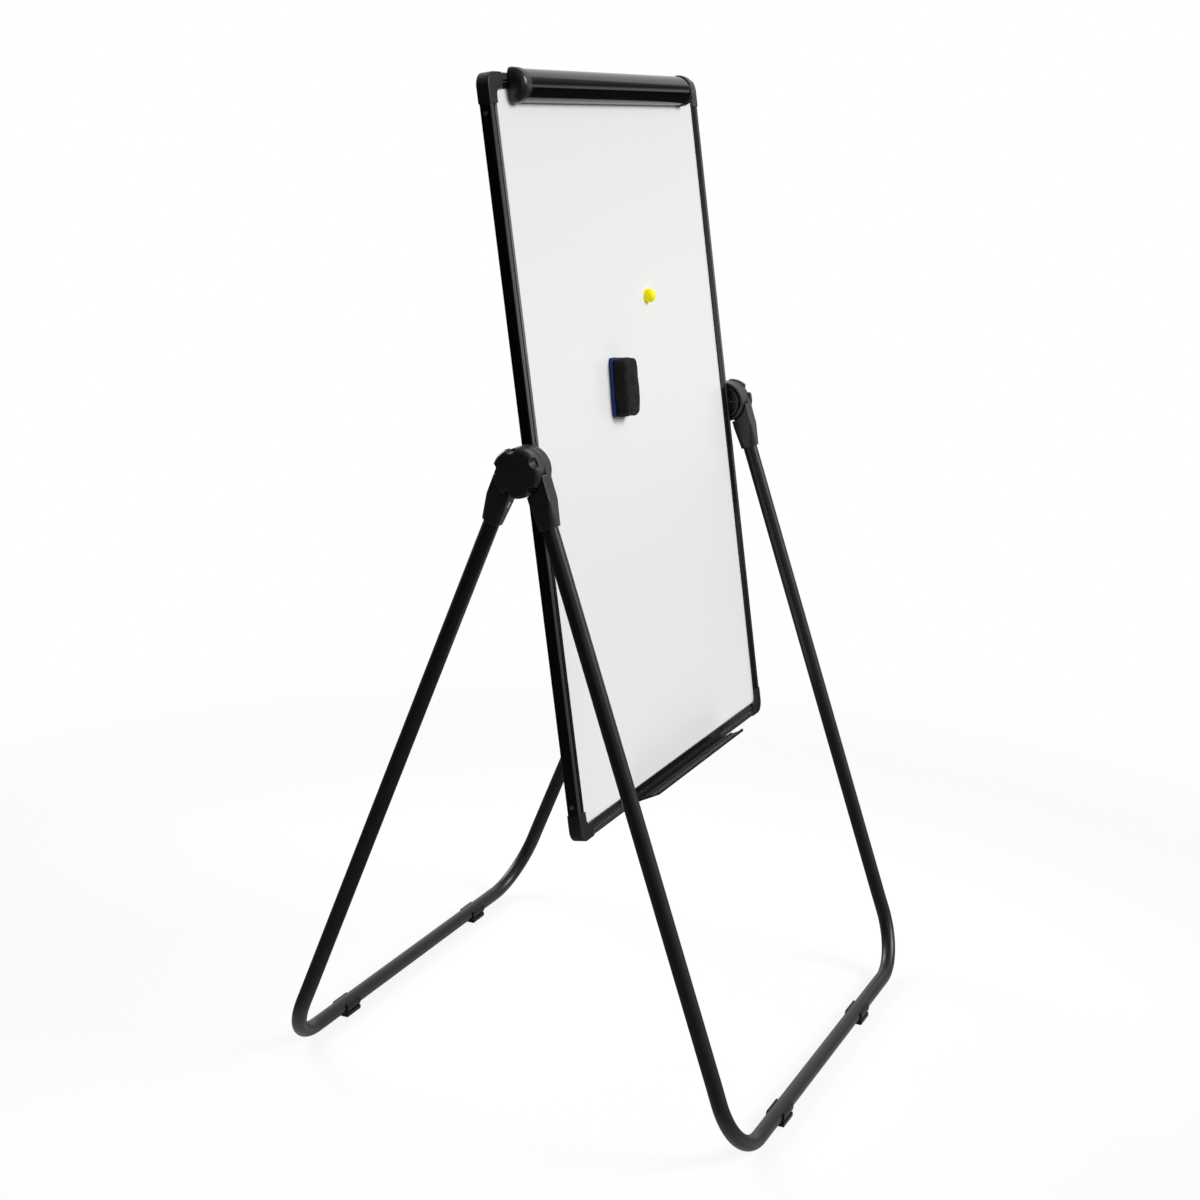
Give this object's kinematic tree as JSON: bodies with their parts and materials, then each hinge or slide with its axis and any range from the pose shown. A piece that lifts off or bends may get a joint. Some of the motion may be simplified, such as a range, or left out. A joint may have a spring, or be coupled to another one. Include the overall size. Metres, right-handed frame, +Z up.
{
  "type": "flip whiteboard easel",
  "caption": "Framed magnetic whiteboard turning between two folding U-shaped tube legs, with clamping hinge knobs, paper clamp, pen tray, button magnet and eraser.",
  "frame": {"origin": "on the floor under the hinge line, midway between the legs", "axes": "+X along the hinge line to the viewer's right, +Y from the front of the board to its back, +Z up"},
  "size_m": [0.792, 0.7262, 1.4036],
  "materials": {
    "white_sheet": "gloss white dry-wipe lacquer",
    "board_core": "raw fibre board",
    "frame_black": "black anodised, semi-gloss",
    "corner_black": "satin moulded",
    "hinge_black": "satin moulded",
    "knob_black": "satin moulded",
    "clamp_black": "polished",
    "cap_black": "satin moulded",
    "grip_rubber": "soft matte",
    "tube_black": "satin powder coat",
    "foot_black": "matte moulded",
    "steel": "bright zinc plate",
    "rivet_black": "black zinc",
    "washer_white": "plain",
    "magnet_yellow": "gloss",
    "ferrite": "dull",
    "eraser_blue": "satin",
    "eraser_felt": "wool felt"
  },
  "bodies": {
    "front_leg": {"front_tube": "tube_black", "front_left_bracket": "hinge_black", "front_right_bracket": "hinge_black", "front_bracket_screws": "steel", "front_left_foot": "foot_black", "front_right_foot": "foot_black"},
    "rear_leg": {"rear_tube": "tube_black", "rear_left_bracket": "hinge_black", "rear_right_bracket": "hinge_black", "rear_bracket_screws": "steel", "rear_left_foot": "foot_black", "rear_right_foot": "foot_black"},
    "board": {"front_sheet": "white_sheet", "back_sheet": "white_sheet", "board_core": "board_core", "top_rail": "frame_black", "bottom_rail": "frame_black", "left_stile": "frame_black", "right_stile": "frame_black", "top_left_corner": "corner_black", "top_right_corner": "corner_black", "bottom_left_corner": "corner_black", "bottom_right_corner": "corner_black", "corner_rivets": "rivet_black", "left_hinge_plate": "hinge_black", "right_hinge_plate": "hinge_black", "left_hinge_stud": "steel", "right_hinge_stud": "steel", "left_friction_washer": "washer_white", "right_friction_washer": "washer_white", "pen_tray": "frame_black", "clamp_base": "frame_black", "clamp_pin": "steel", "clamp_springs": "steel", "clamp_left_cap": "cap_black", "clamp_right_cap": "cap_black"},
    "clamp": {"clamp_bar": "clamp_black", "clamp_grip": "grip_rubber"},
    "left_knob_body": {"left_knob": "knob_black", "left_knob_nut": "steel"},
    "right_knob_body": {"right_knob": "knob_black", "right_knob_nut": "steel"},
    "magnet": {"magnet_button": "magnet_yellow", "magnet_disc": "ferrite"},
    "eraser": {"eraser_back": "eraser_blue", "eraser_felt": "eraser_felt", "eraser_magnets": "ferrite"}
  },
  "joints": [
    {"name": "rear_leg_swing", "type": "hinge", "parent": "front_leg", "child": "rear_leg", "pos_m": [0, 0, 0.9034], "axis": [1, 0, 0], "range_deg": [-40, 10]},
    {"name": "board_turn", "type": "hinge", "parent": "front_leg", "child": "board", "pos_m": [0, 0, 0.9034], "axis": [1, 0, 0], "continuous": true},
    {"name": "clamp_tip", "type": "hinge", "parent": "board", "child": "clamp", "pos_m": [0, 0.06979, 1.38561], "axis": [-1, 0, 0], "range_deg": [0, 18], "stiffness_Nm_per_rad": 0.5, "springref_deg": -28.65},
    {"name": "left_knob_turn", "type": "hinge", "parent": "board", "child": "left_knob_body", "pos_m": [-0.39, 0, 0.9034], "axis": [-1, 0, 0], "range_deg": [0, 540]},
    {"name": "right_knob_turn", "type": "hinge", "parent": "board", "child": "right_knob_body", "pos_m": [0.39, 0, 0.9034], "axis": [1, 0, 0], "range_deg": [0, 540]},
    {"name": "magnet_pull", "type": "slide", "parent": "board", "child": "magnet", "axis": [0, -0.9848, 0.1736], "range_m": [0, 0.06]},
    {"name": "eraser_pull", "type": "slide", "parent": "board", "child": "eraser", "axis": [0, -0.9848, 0.1736], "range_m": [0, 0.06]}
  ]
}
